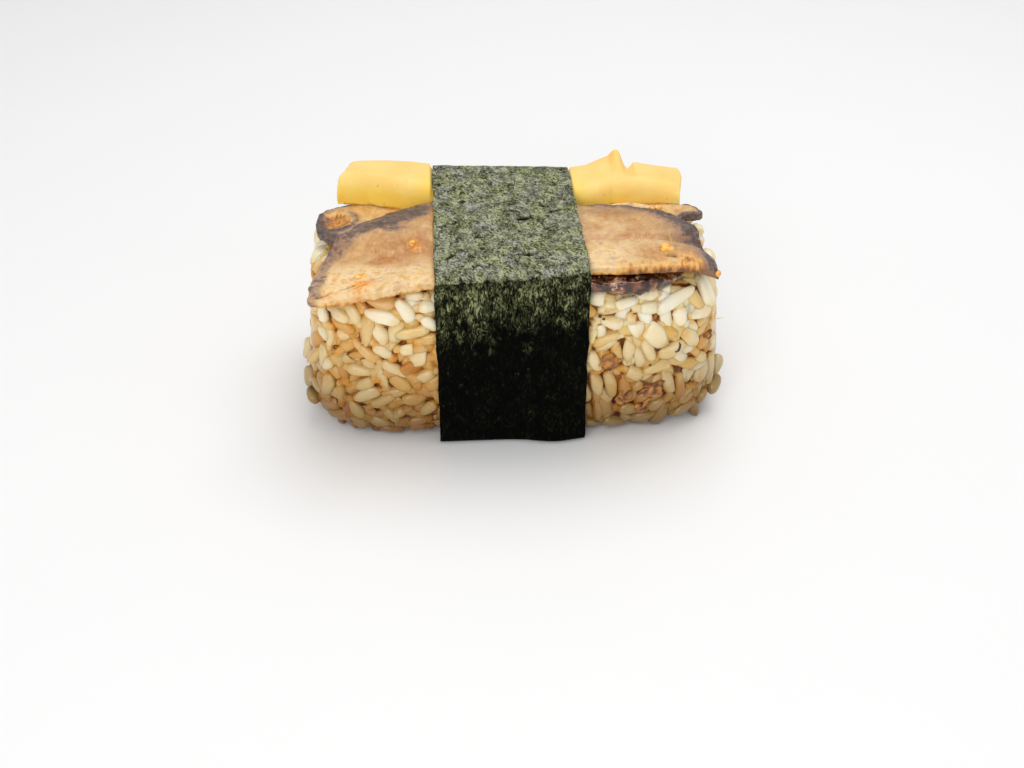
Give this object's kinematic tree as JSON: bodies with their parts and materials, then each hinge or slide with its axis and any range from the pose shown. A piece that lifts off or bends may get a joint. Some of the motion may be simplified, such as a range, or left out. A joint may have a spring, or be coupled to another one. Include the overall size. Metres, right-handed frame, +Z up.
{
  "type": "pork chashu onigiri",
  "caption": "Pressed block of seasoned rice topped with sliced roast pork and a thick omelette slab, wrapped round the middle with a band of toasted seaweed.",
  "frame": {"origin": "on the ground under the middle of the whole, where the seaweed band rests", "axes": "+X along the block to the viewer's right, +Y from the pork slice's cut edge to the omelette at the back, +Z up"},
  "size_m": [0.0986, 0.0576, 0.0477],
  "materials": {
    "cooked_rice": "moist, translucent grains, some tinted by soy",
    "roast_pork": "moist meat with a charred rim",
    "glazed_pork": "dark, glossy glaze",
    "omelette": "smooth and slightly moist",
    "toasted_seaweed": "fibrous sheet with a faint sheen"
  },
  "bodies": {
    "root": {"rice": "cooked_rice", "pork_back": "roast_pork", "pork_strip": "glazed_pork", "pork_front": "roast_pork", "egg": "omelette", "nori": "toasted_seaweed"}
  },
  "joints": []
}
